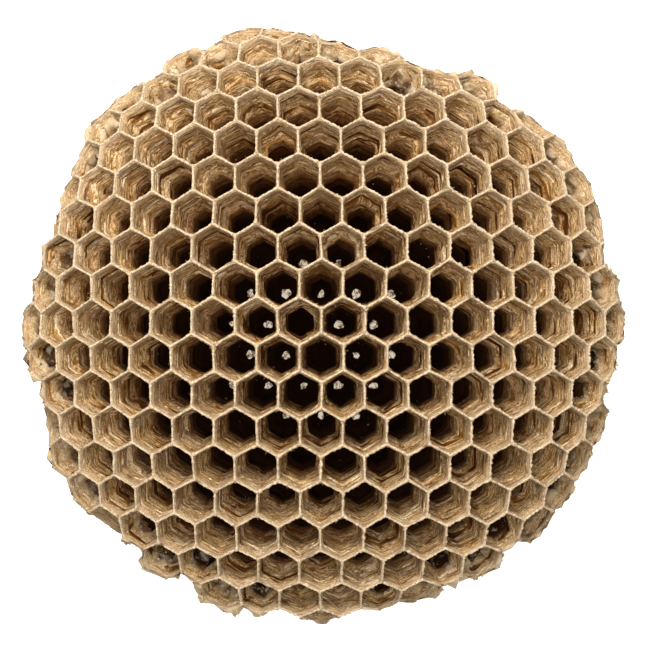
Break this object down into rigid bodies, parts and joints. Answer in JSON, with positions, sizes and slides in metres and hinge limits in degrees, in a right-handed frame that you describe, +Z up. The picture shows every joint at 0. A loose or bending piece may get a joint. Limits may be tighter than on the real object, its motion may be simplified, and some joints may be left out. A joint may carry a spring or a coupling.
{
  "type": "hornet nest",
  "caption": "Domed paper comb of a hornet nest with open hexagonal brood cells on its face and a short flared stalk behind, cut off flat to rest on.",
  "frame": {"origin": "middle of the stalk's flat cut face, which the nest rests on", "axes": "+Z up out of the cut face, the way the open cells face; +X along a row of cells, towards the longer side of the comb; +Y across the rows of cells"},
  "size_m": [0.1228, 0.1221, 0.0335],
  "materials": {
    "nest_paper": "matte"
  },
  "bodies": {
    "root": {"comb": "nest_paper"}
  },
  "joints": []
}
